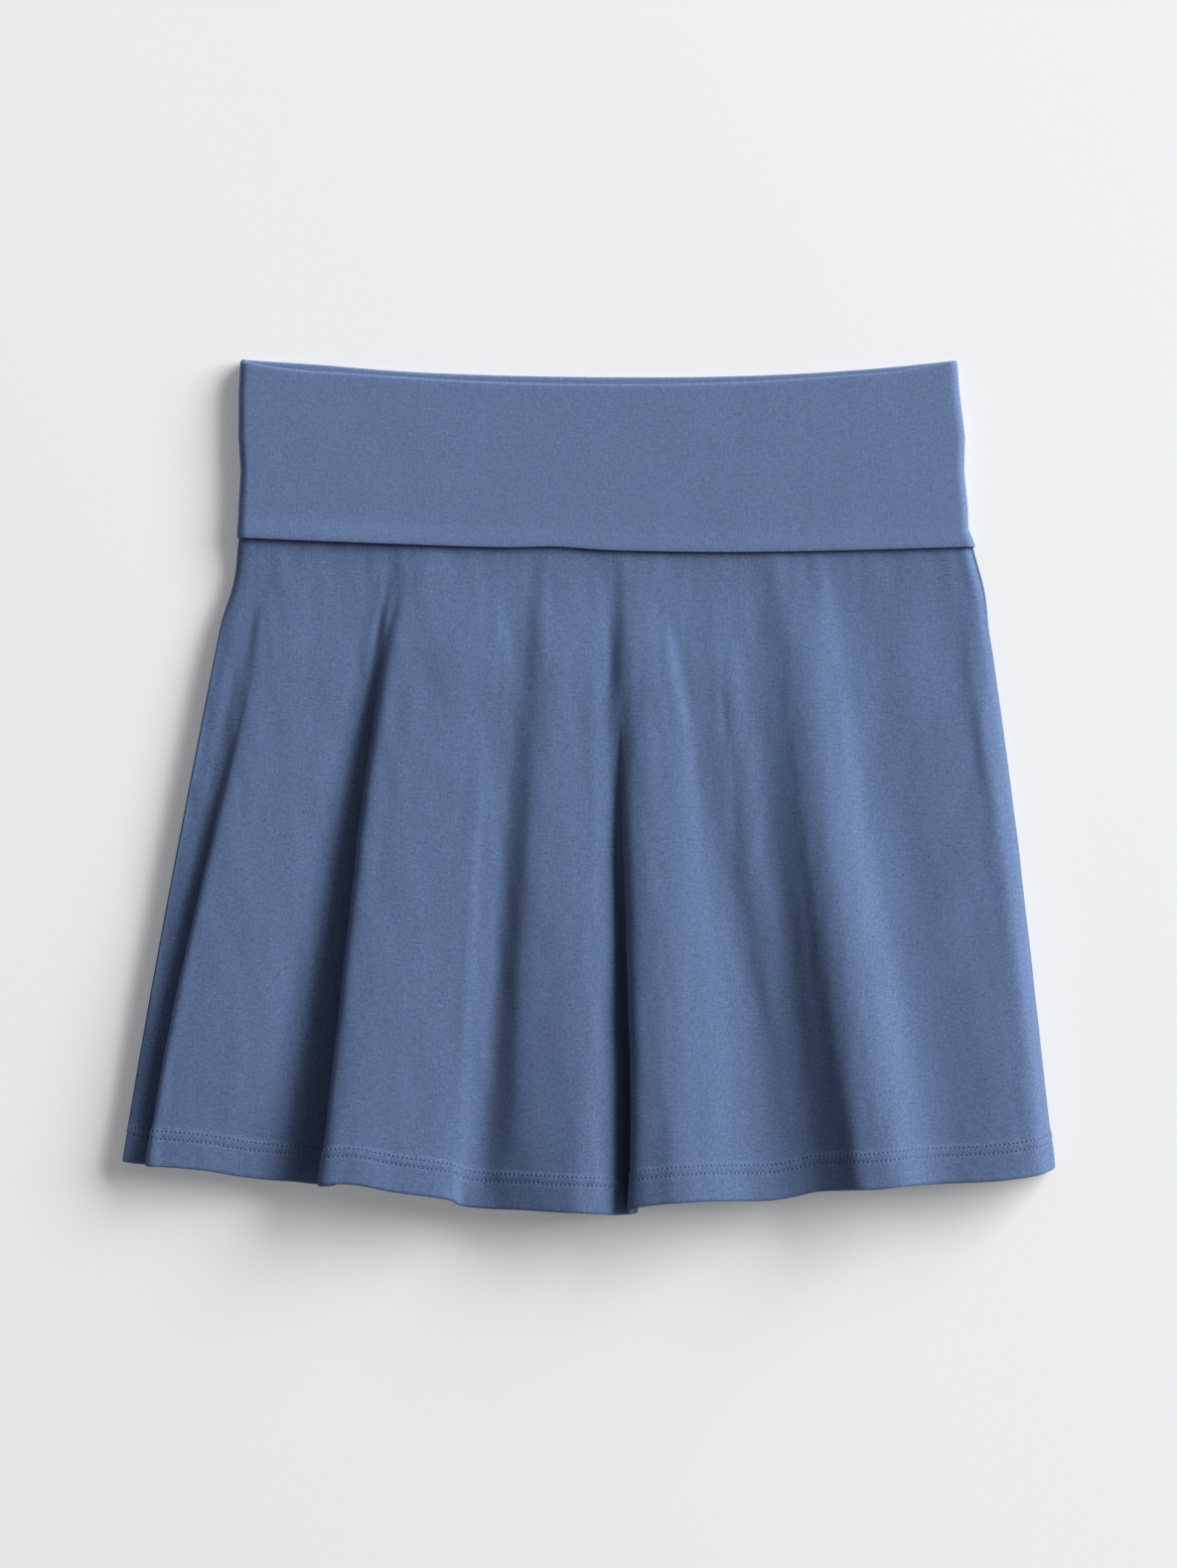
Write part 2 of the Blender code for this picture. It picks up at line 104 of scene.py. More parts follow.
# Lines along the folds: x at the waist, at one and two thirds of the length and at the hem, height
# at the same places below the waist, y of the hem, and the neck, which is how far a line is raised
# in the first third
FoldLine = namedtuple(
    "FoldLine", "name waist_x upper_x lower_x hem_x upper_z lower_z hem_z hem_y neck", defaults=(0,)
)
FRONT_FOLDS = (
    FoldLine("left seam", -131.7, -146.8, -161.7, -175.0, 6.1, 6.0, 6.3, -140.5, 0.5),
    FoldLine("left round", -130.2, -145.3, -160.2, -173.5, 6.2, 6.1, 6.6, -140.8, 0.0),
    FoldLine("side fold", -127.6, -142.0, -157.4, -170.8, 6.4, 6.1, 6.8, -141.2, 0.1),
    FoldLine("valley 1", -125.2, -138.4, -154.2, -168.0, 6.3, 5.9, 6.6, -141.5, 0.1),
    FoldLine("tuck 1", -122.0, -134.6, -149.9, -164.0, 7.3, 6.4, 6.9, -141.8, -0.5),
    FoldLine("lip 1", -118.0, -133.2, -151.2, -165.4, 8.2, 9.8, 10.4, -141.8, 0.2),
    FoldLine("shoulder 1", -114.6, -131.9, -150.6, -165.3, 9.0, 11.8, 12.1, -142.0, 0.2),
    FoldLine("top 1", -108.5, -125.0, -145.2, -159.5, 9.3, 12.1, 12.2, -142.2, 0.1),
    FoldLine("plateau 1", -98.0, -111.5, -128.0, -143.0, 8.8, 11.4, 10.8, -143.8),
    FoldLine("edge 1", -84.0, -97.8, -114.4, -131.0, 7.9, 9.8, 8.6, -146.0),
    FoldLine("flank 1", -79.2, -92.2, -106.4, -120.4, 6.7, 7.5, 6.4, -147.4, 0.3),
    FoldLine("floor 2", -77.2, -88.0, -99.6, -110.8, 5.8, 5.8, 4.6, -148.2, 0.7),
    FoldLine("valley 2", -75.2, -84.6, -94.0, -103.0, 5.3, 5.5, 2.7, -149.2, 0.7),
    FoldLine("tuck 2", -72.8, -81.2, -87.2, -95.8, 5.9, 5.6, 3.3, -149.6, 1.3),
    FoldLine("lip 2", -68.6, -82.3, -91.7, -100.6, 10.4, 14.8, 17.4, -149.2, 0.6),
    FoldLine("shoulder 2", -65.0, -80.4, -90.4, -99.6, 12.7, 17.1, 20.0, -148.6, 0.8),
    FoldLine("top 2", -58.6, -73.6, -82.0, -89.0, 13.1, 17.7, 20.6, -148.2, 0.9),
    FoldLine("plateau 2", -50.5, -60.0, -68.0, -73.0, 13.0, 16.8, 18.8, -151.2, 1.1),
    FoldLine("crest 2", -37.6, -41.5, -48.0, -51.5, 11.8, 14.5, 15.4, -154.6, 1.3),
    FoldLine("flank 2", -28.0, -34.5, -38.6, -48.2, 11.0, 12.8, 11.8, -156.6, 1.2),
    FoldLine("valley 3", -22.5, -28.6, -33.4, -39.6, 10.8, 12.2, 11.0, -157.8, 1.2),
    FoldLine("rise 3", -16.0, -20.2, -25.4, -25.0, 13.1, 15.8, 14.4, -158.2, 1.3),
    FoldLine("slope 3", -10.0, -14.0, -13.6, -13.0, 13.3, 16.7, 16.6, -158.8, 1.5),
    FoldLine("crest 3", 1.0, -0.6, -0.8, -3.0, 12.4, 16.3, 17.4, -159.2, 1.6),
    FoldLine("edge 3", 3.6, 2.8, 4.8, 4.0, 12.0, 15.0, 15.9, -159.6, 1.5),
    FoldLine("flank 3", 7.0, 6.0, 9.2, 9.2, 11.5, 12.9, 12.6, -160.2, 1.2),
    FoldLine("valley 4", 9.4, 9.2, 14.2, 15.0, 11.0, 8.0, 6.0, -160.4, 0.6),
    FoldLine("tuck 4", 12.8, 12.2, 17.8, 17.6, 11.5, 8.2, 6.4, -160.0, 1.0),
    FoldLine("lip 4", 16.4, 12.8, 15.2, 15.4, 12.7, 15.4, 16.0, -158.8, 1.9),
    FoldLine("shoulder 4", 20.4, 15.8, 16.9, 16.9, 14.3, 18.7, 18.8, -157.4, 1.9),
    FoldLine("rise 4", 25.0, 21.6, 24.6, 26.0, 15.2, 20.0, 20.8, -155.8, 1.5),
    FoldLine("crest 4", 29.4, 30.0, 33.0, 35.5, 14.7, 19.3, 21.2, -155.0, 1.4),
    FoldLine("brow 4", 34.5, 35.8, 42.0, 46.5, 13.9, 17.2, 18.6, -154.6, 1.1),
    FoldLine("crease 4", 40.0, 40.2, 50.6, 57.0, 12.7, 14.4, 14.6, -154.8, 1.1),
    FoldLine("valley 5", 46.5, 48.0, 60.5, 68.0, 12.4, 12.9, 12.5, -154.8, 0.9),
    FoldLine("ridge 5", 53.5, 55.5, 67.5, 76.0, 13.1, 13.6, 12.3, -153.6, 0.5),
    FoldLine("foot 5", 62.0, 65.5, 75.8, 85.5, 12.2, 14.4, 13.7, -151.4, 0.8),
    FoldLine("wall 5", 69.5, 74.0, 83.4, 95.5, 13.7, 17.6, 18.2, -150.6, 1.0),
    FoldLine("shoulder 5", 76.0, 79.5, 89.5, 101.5, 15.2, 20.6, 22.2, -150.2, 1.3),
    FoldLine("crest 5", 84.0, 87.5, 97.5, 109.0, 15.7, 21.6, 22.6, -149.9, 0.9),
    FoldLine("brow 5", 92.0, 94.0, 104.8, 116.8, 14.2, 19.8, 21.3, -149.0, 0.1),
    FoldLine("valley 6", 102.5, 103.4, 117.0, 130.4, 11.0, 14.1, 15.0, -148.4, 0.2),
    FoldLine("crest 7", 116.0, 128.0, 143.0, 150.0, 10.2, 13.0, 14.8, -147.6, 0.1),
    FoldLine("valley 7", 132.5, 144.5, 153.5, 161.8, 9.4, 12.7, 14.2, -146.4, -0.2),
    FoldLine("right crest", 138.2, 149.9, 161.0, 169.2, 9.7, 11.8, 12.2, -145.2, -0.3),
    FoldLine("right flank", 141.8, 154.3, 164.4, 172.8, 7.8, 8.4, 7.8, -144.2, -0.2),
    FoldLine("right round", 144.2, 156.3, 165.8, 174.6, 5.6, 5.2, 4.6, -143.7),
    FoldLine("right seam", 145.0, 157.1, 166.5, 175.3, 3.7, 3.0, 2.2, -143.2),
)
BACK_FOLDS = (
    FoldLine("left seam", -131.7, -146.8, -161.7, -175.0, 6.1, 6.0, 6.3, -140.5, 0.5),
    FoldLine("left round", -130.4, -145.5, -160.4, -173.7, 1.7, 1.7, 1.7, -140.5),
    FoldLine("left floor", -126.4, -141.2, -156.4, -169.6, 0.0, 0.0, 0.0, -140.4),
    FoldLine("flute 1", -108.0, -118.0, -128.5, -139.0, 0.0, 0.0, 2.6, -141.6),
    FoldLine("rest 1", -86.0, -94.0, -102.0, -110.0, 0.0, 0.0, 0.0, -144.4),
    FoldLine("rest 2", -60.0, -65.5, -70.5, -76.0, 0.0, 0.0, 0.0, -148.4),
    FoldLine("flute 2", -34.0, -37.5, -40.5, -44.0, 0.0, 0.0, 3.0, -151.4),
    FoldLine("rest 3", -6.0, -6.5, -7.5, -8.0, 0.0, 0.0, 0.0, -154.6),
    FoldLine("rest 4", 24.0, 26.5, 28.5, 31.0, 0.0, 0.0, 0.0, -154.0),
    FoldLine("flute 3", 50.0, 55.5, 60.5, 66.0, 0.0, 0.0, 2.8, -151.4),
    FoldLine("rest 5", 76.0, 83.5, 91.5, 99.0, 0.0, 0.0, 0.0, -148.2),
    FoldLine("flute 4", 104.0, 113.5, 122.5, 132.0, 0.0, 0.0, 2.4, -145.4),
    FoldLine("right floor", 140.2, 152.5, 161.9, 170.3, 0.0, 0.0, 0.0, -143.0),
    FoldLine("right round", 144.2, 156.3, 165.8, 174.6, 1.4, 1.2, 1.1, -143.0),
    FoldLine("right seam", 145.0, 157.1, 166.5, 175.3, 3.7, 3.0, 2.2, -143.2),
)

# Shorts
SHORTS_WAIST = (-126.2, 139.0)  # left and right side seams at the waist
SHORTS_HEM = (-117.4, 129.4)
CENTRE_X = 6.0  # the rise seam
CROTCH_Y = -52.0
LEG_HEM_Y = -92.0
LEG_PARTING = 14.0  # from the centre to a leg's inner edge at its hem
SHORTS_WAIST_Z = (SEAM_Z, HALF_Z - JERSEY - SEAM_GAP)  # middle height, half spacing
SHORTS_HEM_Z = (2.6, 0.75)
SHORTS_EDGE_Z = (JERSEY + SEAM_GAP) / 2  # from the middle to each side's edge at a seam
SHORTS_CURL = 2.2  # width of the turn at a side seam or inseam
SHORTS_CURL_POWER = 1.6  # columns lie closer together at the edge
SHORTS_SETTLE, SHORTS_SETTLE_POWER = 1.1, 0.8  # how soon they reach their height at the hem
LEG_PARTING_POWER = 0.7
INSEAM_SHARE = 3  # the rise edge turns into an inseam over a third of the leg's length
SHORTS_CLOTH = 0.9

# Rows and columns of the cloths
FRONT_SAMPLES = 6  # columns from one fold line to the next
FRONT_STEPS = 100
BACK_SAMPLES = 10
BACK_STEPS = 50
BAND_COLUMNS = 150
BAND_TURNS = np.radians(np.linspace(1.2, 90, 11))  # angles round each side of the band
BAND_INNER_ROWS = 14
BAND_FOLD_ROWS = 11
BAND_OUTER_ROWS = 44
BAND_SLOPE = 0.05  # the slope of a side is taken between points so far to the left and right
SHORTS_ROWS = 50
SHORTS_COLUMNS = 30
SHORTS_CURL_COLUMNS = 7
WAIST_ROW_STEPS = 30
WAIST_ROW_SHARE = 0.03  # of the front's length, the strip on which the waist row lies
WAIST_ROW_SAMPLES = 8
WAIST_ROW_ENDS = slice(8, -8)  # its columns without those next to the side seams
SKIRT_RIMS = (1, 4)  # steps that round the edge of a cloth's first and of its last row
BAND_RIMS = (1, 6)
SHORTS_RIMS = (1, 3)

# Distances above the skirt's edge at which the rows of its hem lie
SKIRT_LENGTH = 247.0  # about, from the waist seam to the edge
HEM_CLOSE = (
    0, 0.7, 1.6, 2.8, 4.2, 5.8, 7.2, 8.2, 8.8, 9.2, 9.5, 9.75, 10.0, 10.3, 10.7, 11.25,
    11.8, 12.2, 12.5, 12.75, 13.0, 13.3, 13.7, 14.2, 15.0, 16.4, 18.5,
)

# Skirt cloth and its hem
CLOTH = 0.8
HEM_DEPTH = 12.7  # how far the hem is turned up
HEM_TURN = 0.42  # radius of the turn at the hem's edge
HEM_TURN_STEPS = 5
HEM_INNER_ROWS = 9
HEM_STEP_START = 0.1  # the step at the top of the hem begins so far above it
HEM_STEP_WIDTH = 1.4
STITCH_ROWS = (9.75, 12.75)  # above the edge
GROOVE_DEPTH = 0.18  # along a row of stitches
GROOVE_WIDTH = 0.5
PUCKER = 0.2  # how far the cloth rises and sinks between the two rows
PUCKER_SIZE = (2.6, 9.0)  # along the hem and across it
PUCKER_MIDDLE = 11.2  # above the edge
PUCKER_REACH = 4.2
PUCKER_END = 22  # none further above the edge

# Stitches, and the rings that shape one: place along it, height and width as shares of its size
Stitch = namedtuple("Stitch", "pitch length radius")
HEM_STITCH = Stitch(1.7, 1.1, 0.15)
WAIST_STITCH = Stitch(1.9, 1.3, 0.17)
SHORTS_STITCH = Stitch(2.4, 1.7, 0.15)
StitchRing = namedtuple("StitchRing", "place height width")
STITCH_RINGS = (
    StitchRing(-0.5, -0.9, 0.45),
    StitchRing(-0.4, 0.25, 0.85),
    StitchRing(-0.15, 0.55, 1.0),
    StitchRing(0.15, 0.55, 1.0),
    StitchRing(0.4, 0.25, 0.85),
    StitchRing(0.5, -0.9, 0.45),
)
STITCH_SIDES = 6
STITCH_SLOPE = 0.1  # the way of a row is taken between points so far ahead and behind
# Needle holes are not cut: each is a small dark disc of painted shade lying on the cloth
HOLE_SHADE_SIZE = (0.38, 0.29)  # half width across the row and along it
HOLE_SHADE_RIM, HOLE_SHADE_MIDDLE = 0.05, 0.07  # heights above the cloth

# The front flap of the band stands off a little at its free edge, most round one place
STAND = 0.35
STAND_MORE, STAND_X, STAND_WIDTH = 0.55, -92, 34
STAND_DEPTH = 9  # how far above the edge that ends
# Round another place the flap is shorter and the waist seam's stitches lie lower, so that they show
WAIST_ROW = 1.0  # from the flap's edge up to the row elsewhere
BARE_X = -15
BARE_RISE, BARE_WIDTH = 0.9, 13
BARE_DROP, BARE_DROP_WIDTH = 1.1, 16

# Small creases on the front: from one point to another, how wide, how deep, and how far the cloth
# to their right stands above the cloth to their left
Crease = namedtuple("Crease", "x0 y0 x1 y1 width depth rise", defaults=(0,))
FRONT_CREASES = (
    Crease(-69.0, 94.0, -79.0, 44.0, 4.4, 0.0, 0.5),
    Crease(-18.0, 94.0, -23.5, 34.0, 2.6, 0.0, 0.45),
    Crease(11.9, 92.0, 11.4, 28.0, 2.4, 0.0, 0.6),
    Crease(63.5, 92.0, 70.0, 44.0, 3.2, 0.0, 0.4),
    Crease(88.0, 88.0, 95.0, 38.0, 3.0, 0.0, -0.4),
    Crease(29.0, 66.0, 37.0, 16.0, 1.8, 0.0, -0.4),
    Crease(-125.6, 76.0, -129.0, 40.0, 4.0, 0.0, 0.2),
    Crease(51.0, 46.0, 58.0, -30.0, 3.2, -0.45),
    Crease(49.5, 40.0, 52.0, 14.0, 1.6, -0.35),
    Crease(-40.0, 36.0, -49.6, -138.0, 1.8, 0.42),
    Crease(-16.0, -70.0, -20.0, -100.0, 5.0, -0.4),
    Crease(104.0, 60.0, 124.0, -60.0, 9.0, -0.3),
    Crease(-104.0, 50.0, -134.0, -90.0, 12.0, -0.3),
)
CREASE_TAPER = 3.5  # a crease reaches its full depth at 1 / 3.5 of its length from each end
CREASE_FADE = 5  # a rise dies out over so many widths
# Faint unevenness of the front: sizes across and along the folds, the amount, the noise's seed,
# and the size and the share of each of its layers
UNEVEN_SIZE = (9.0, 34.0)
UNEVEN = 0.45
UNEVEN_SEED = 3.1
UNEVEN_LAYERS = ((1.0, 0.65), (0.45, 0.35))

# Colours
SKIRT_BLUE = (0.104, 0.162, 0.306)
BAND_BLUE = (0.133, 0.199, 0.369)
SHORTS_BLUE = (0.092, 0.144, 0.272)
THREAD_BLUE = (0.16, 0.235, 0.41)
# colour of the painted shade in the needle holes
HOLE_SHADE_BLUE = (0.016, 0.027, 0.06)
PAINTED_LIGHT_MIDDLE = 1.2  # v of the cloth where the painted light of a fade changes nothing
TWIST_SCALE = 2200  # of a thread's noise

# Floor, light and camera, in metres
FLOOR_REACH = 6.0
FLOOR_Z = -0.0002
AMBIENT = 0.155  # of the background, and as much glow on the floor
LIGHT_PLACE = (7.6, 4.6, 4.0)
LIGHT_SIZE = (4.8, 8.8)
LIGHT_POWER = 1785
LIGHT_LONG_AXIS = (-0.3, 1, 0.0)
CAMERA_Y = 0.0009
CAMERA_HEIGHT = 2.2
SENSOR_WIDTH = 36  # millimetres
PICTURE_WIDTH = 0.5921  # what the picture shows on the floor


def sag_y(edge, x, left, right):
    side = np.where(x < edge.low_x, edge.low_x - left, right - edge.low_x)
    away = np.clip(np.abs(x - edge.low_x) / side, 0, 1) ** edge.power
    end_y = np.where(x < edge.low_x, edge.left_y, edge.right_y)
    return edge.low_y + (end_y - edge.low_y) * away


def top_edge_y(top, x, left, right):
    """The band's top edge with its small dips and rises."""
    y = sag_y(top, x, left, right)
    for dip in TOP_DIPS:
        if dip.edge == top:
            y = y - dip.drop * np.exp(-(((x - dip.x) / dip.width) ** 2))
    return y


def band_sides(y):
    down = FRONT_TOP.left_y - y
    steps = [e.down for e in BAND_EDGES]
    left = np.interp(down, steps, [e.left for e in BAND_EDGES])
    right = np.interp(down, steps, [e.right for e in BAND_EDGES])
    return left + OUTSIDE, right - OUTSIDE


def seam_y(x):
    return sag_y(FLAP_EDGE, x, BAND_EDGES[-1].left, BAND_EDGES[-1].right) + SEAM_COVER


def waist_z(x, left, right, side):
    edge = np.clip(np.minimum(x - left, right - x) / HALF_Z, 0, 1)
    turn = (1 - (1 - edge) ** SIDE_POWER) ** (1 / SIDE_POWER)
    middle = (2 * x - left - right) / (right - left)
    crown = BAND_CROWN * (1 - middle**2) if side > 0 else 0
    return SEAM_Z + side * turn * HALF_Z + crown


def through(points, samples):
    """Centripetal Catmull-Rom curves through points[line, row], samples steps in each span."""
    first, last = 2 * points[:1] - points[1:2], 2 * points[-1:] - points[-2:-1]
    p = np.concatenate([first, points, last])
    lengths = np.linalg.norm(np.diff(p, axis=0), axis=2) ** 0.5
    knots = np.concatenate([np.zeros((1, p.shape[1])), np.cumsum(lengths, axis=0)])[..., None]
    made = []
    for i in range(1, len(p) - 2):
        k = knots[i - 1 : i + 3]
        for share in np.arange(samples) / samples:
            t = k[1] + (k[2] - k[1]) * share
            a = [
                ((k[j + 1] - t) * p[i - 1 + j] + (t - k[j]) * p[i + j]) / (k[j + 1] - k[j])
                for j in range(3)
            ]
            b = [((k[j + 2] - t) * a[j] + (t - k[j]) * a[j + 1]) / (k[j + 2] - k[j]) for j in range(2)]
            made.append(((k[2] - t) * b[0] + (t - k[1]) * b[1]) / (k[2] - k[1]))
    return np.array([*made, p[-2]]).transpose(1, 0, 2)


def smooth_between(share, *stations):
    """A smooth curve through values at even distances."""
    places = np.linspace(0, 1, len(stations))
    value = 0.0
    for i, station in enumerate(stations):
        others = np.delete(places, i)
        value = value + station * np.prod([(share - o) / (places[i] - o) for o in others], axis=0)
    return value


def ease(share):
    share = np.clip(share, 0, 1)
    return share * share * (3 - 2 * share)


def line_xy(line, share):
    eased = 1 - (1 - WAIST_EASE) * (1 - ease(share / EASE_DEPTH))
    x = smooth_between(share, line.waist_x, line.upper_x, line.lower_x, line.hem_x) * eased
    left, right = (max(line.waist_x / side_x, 0) for side_x in SIDE_X)
    draw = LEFT_DRAW * left + RIGHT_SPREAD * right
    x = x + draw * np.sin(math.pi * np.clip(share / DRAW_END, 0, 1)) ** 2
    top_y = seam_y(line.waist_x * WAIST_EASE) - SEAM_GAP / 2
    return x, top_y + (line.hem_y - top_y) * share


def waist_height(line, side):
    if line.name.endswith("seam"):
        return SEAM_Z
    x = line.waist_x * WAIST_EASE
    left, right = band_sides(seam_y(x))
    return float(waist_z(x, left, right, side))


def folded_z(line, share, waist):
    """Height on a fold line that grows from its height at the waist to its own heights."""
    z = smooth_between(share, waist, line.upper_z, line.lower_z, line.hem_z)
    z = waist + (z - waist) * ease(share / FOLD_START) ** FOLD_POWER
    return z + line.neck * np.sin(math.pi * np.clip(share * 3, 0, 1)) ** 3


def front_line(line, share):
    x, y = line_xy(line, share)
    z = folded_z(line, share, waist_height(line, 1))
    if line.name.endswith("seam"):
        z = z + SIDE_GAP / 2
    return np.stack([x, y, z], axis=1)


def back_line(line, share):
    x, y = line_xy(line, share)
    waist = waist_height(line, -1)
    if line.name.endswith("seam"):
        z = folded_z(line, share, waist) - SIDE_GAP / 2
    elif line.name.endswith("round"):
        z = folded_z(line, share, waist)
    else:
        flute = line.hem_z * ease((share - FLUTE_START) / (1 - FLUTE_START))
        z = JERSEY / 2 + flute + (waist - JERSEY / 2) * (1 - ease(share / SETTLE))
    return np.stack([x, y, z], axis=1)


def grid_normals(grid):
    """Unit normals of a grid, on the side that is up when columns run to +X and rows to -Y."""
    across = np.gradient(grid, axis=1)
    along = np.gradient(grid, axis=0)
    normal = np.cross(along, across)
    return normal / np.maximum(np.linalg.norm(normal, axis=2, keepdims=True), 1e-9)


def creased(grid, creases):
    """The grid moved along its normals by the small creases."""
    move = np.zeros(grid.shape[:2])
    for c in creases:
        start, way = np.array([c.x0, c.y0]), np.array([c.x1 - c.x0, c.y1 - c.y0])
        off = grid[..., :2] - start
        share = (off @ way) / (way @ way)
        away = off - np.clip(share, 0, 1)[..., None] * way
        away = np.linalg.norm(away, axis=2)
        taper = ease(np.minimum(share, 1 - share) * CREASE_TAPER)
        move += c.depth * taper * np.exp(-((away / c.width) ** 2))
        right = (way[0] * off[..., 1] - way[1] * off[..., 0]) / np.hypot(*way)
        fade = np.exp(-((right / (CREASE_FADE * c.width)) ** 2))
        move += c.rise * taper * np.tanh(right / c.width) * fade
    return grid + grid_normals(grid) * move[..., None]


def softened(grid):
    """The grid moved along its normals by faint unevenness, longer along the folds than across."""
    field = np.zeros(grid.shape[:2])
    for size, share in UNEVEN_LAYERS:
        across, along = UNEVEN_SIZE[0] * size, UNEVEN_SIZE[1] * size
        for r in range(grid.shape[0]):
            for c in range(grid.shape[1]):
                x, y, _ = grid[r, c]
                field[r, c] += share * noise.noise(Vector((x / across, y / along, UNEVEN_SEED)))
    return grid + grid_normals(grid) * (field * UNEVEN)[..., None]


def arc_lengths(grid, axis):
    steps = np.linalg.norm(np.diff(grid, axis=axis), axis=2)
    start = np.zeros_like(np.take(steps, [0], axis=axis))
    return np.concatenate([start, np.cumsum(steps, axis=axis)], axis=axis)


def along_columns(lengths, values, places):
    """values[row, column] at a place along each column, whose rows lie at lengths[row, column]."""
    return np.array(
        [
            [np.interp(place, lengths[:, c], values[:, c, axis]) for axis in range(3)]
            for c, place in enumerate(places)
        ]
    )


def new_object(name, verts, faces, material):
    """An object of points in millimetres."""
    mesh = bpy.data.meshes.new(name)
    mesh.from_pydata([tuple(v * MM) for v in verts], [], faces)
    mesh.shade_smooth()
    mesh.materials.append(material)
    made = bpy.data.objects.new(name, mesh)
    bpy.context.scene.collection.objects.link(made)
    return made


def sheet_object(name, grid, thickness, material, rims):
    """A closed sheet of cloth round a grid of points.

    rims gives the steps with which the first and the last row's edges are rounded.
    """
    normals = grid_normals(grid)
    half = thickness / 2
    outer, inner = grid + normals * half, grid - normals * half

    def rim(row, beyond, steps):
        beyond = beyond / np.maximum(np.linalg.norm(beyond, axis=1, keepdims=True), 1e-9)
        angles = [math.pi * k / steps for k in range(1, steps)]
        return [
            grid[row] + half * (math.cos(angle) * normals[row] + math.sin(angle) * beyond)
            for angle in angles
        ]

    first = rim(0, grid[0] - grid[1], rims[0])
    last = rim(-1, grid[-1] - grid[-2], rims[1])
    ring = [*outer, *last, *inner[::-1], *first[::-1]]
    rows, cols = len(ring), grid.shape[1]
    faces = []
    for r in range(rows):
        a, b = r * cols, ((r + 1) % rows) * cols
        for c in range(cols - 1):
            faces.append((a + c, b + c, b + c + 1, a + c + 1))
    count = grid.shape[0]
    left = [r * cols for r in range(rows)]
    right = [r * cols + cols - 1 for r in range(rows)]
    inner_start = count + len(last)
    for end, flip in ((left, True), (right, False)):
        for r in range(count - 1):
            opposite = inner_start + count - 1 - r
            quad = (end[r], end[r + 1], end[opposite - 1], end[opposite])
            faces.append(quad[::-1] if flip else quad)
        for cap in (
            end[count - 1 : inner_start + 1],
            [*end[inner_start + count - 1 :], end[0]],
        ):
            if len(cap) > 2:
                faces.append(tuple(cap[::-1] if flip else cap))
    made = new_object(name, np.concatenate(ring), faces, material)

    def round_ring(values):
        beyond = np.repeat(values[-1:], len(last), 0), np.repeat(values[:1], len(first), 0)
        return np.concatenate([values, beyond[0], values[::-1], beyond[1]]).ravel()

    u = arc_lengths(grid, 1)
    u = round_ring(u - u.mean(axis=1, keepdims=True))
    v = round_ring(arc_lengths(grid, 0))
    index = np.zeros(len(made.data.loops), np.int32)
    made.data.loops.foreach_get("vertex_index", index)
    uv = np.stack([u[index], v[index]], axis=1) * MM * UV_PER_METRE
    layer = made.data.uv_layers.new(name="UVMap")
    layer.data.foreach_set("uv", uv.astype(np.float32).ravel())
    return made


def new_material(name, values):
    """A material with some inputs of its shader set, its nodes and links, and the shader."""
    made = bpy.data.materials.new(name)
    made.use_nodes = True
    nodes, links = made.node_tree.nodes, made.node_tree.links
    shader = nodes["Principled BSDF"]
    for key, value in values.items():
        shader.inputs[key].default_value = value
    return made, nodes, links, shader


def add_noise(nodes, links, vector, scale):
    tex = nodes.new("ShaderNodeTexNoise")
    tex.inputs["Scale"].default_value = scale
    links.new(vector, tex.inputs["Vector"])
    return tex


def add_two_tones(nodes, links, amount, shader, colour, contrast):
    """Colours the shader by amount, from darker to lighter than colour by contrast."""
    ramp = nodes.new("ShaderNodeValToRGB")
    dark, light = ramp.color_ramp.elements
    dark.color = tuple(c * (1 - contrast) for c in colour) + (1,)
    light.color = tuple(min(1, c * (1 + contrast)) for c in colour) + (1,)
    links.new(amount, ramp.inputs["Fac"])
    links.new(ramp.outputs["Color"], shader.inputs["Base Color"])
    return dark, light


